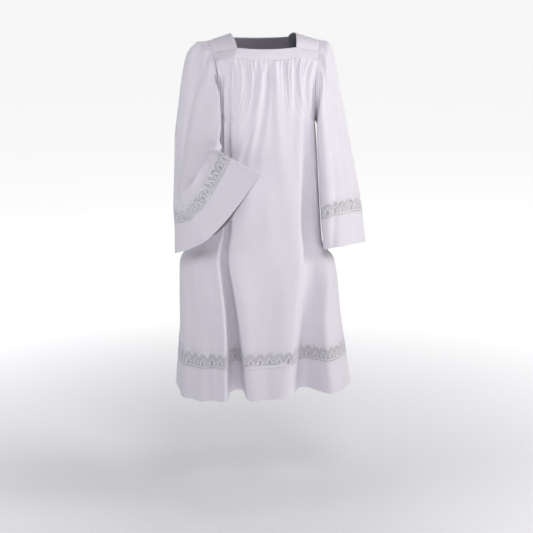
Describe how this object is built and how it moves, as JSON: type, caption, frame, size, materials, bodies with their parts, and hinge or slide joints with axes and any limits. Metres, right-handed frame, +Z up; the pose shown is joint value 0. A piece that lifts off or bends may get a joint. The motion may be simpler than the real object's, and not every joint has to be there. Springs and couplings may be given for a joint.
{
  "type": "surplice",
  "caption": "Knee-length white surplice as worn, with a square yoke neck, gathered body, wide sleeves, one of them bent, and bands of lace above the hem and the cuffs.",
  "frame": {"origin": "midway between the shoulders, level with the highest point of the shoulder line, where the wearer holds the garment up", "axes": "+Z up, front of the garment toward -Y, wearer's left toward +X; metres"},
  "size_m": [0.5966, 0.4348, 1.0865],
  "materials": {
    "linen": "fine plain weave, near white, matt with a faint sheen",
    "lace_thread": "white cotton lace, matt"
  },
  "bodies": {
    "root": {"front_yoke": "linen", "back_yoke": "linen", "shoulder_right": "linen", "shoulder_left": "linen", "front_panel": "linen", "back_panel": "linen", "body_lace_front": "lace_thread", "body_lace_back": "lace_thread", "hem_band_front": "linen", "hem_band_back": "linen", "sleeve_right": "linen", "sleeve_left": "linen", "sleeve_lace_right_front": "lace_thread", "sleeve_lace_right_back": "lace_thread", "sleeve_lace_left_front": "lace_thread", "sleeve_lace_left_back": "lace_thread", "cuff_band_right": "linen", "cuff_band_left": "linen"}
  },
  "joints": []
}
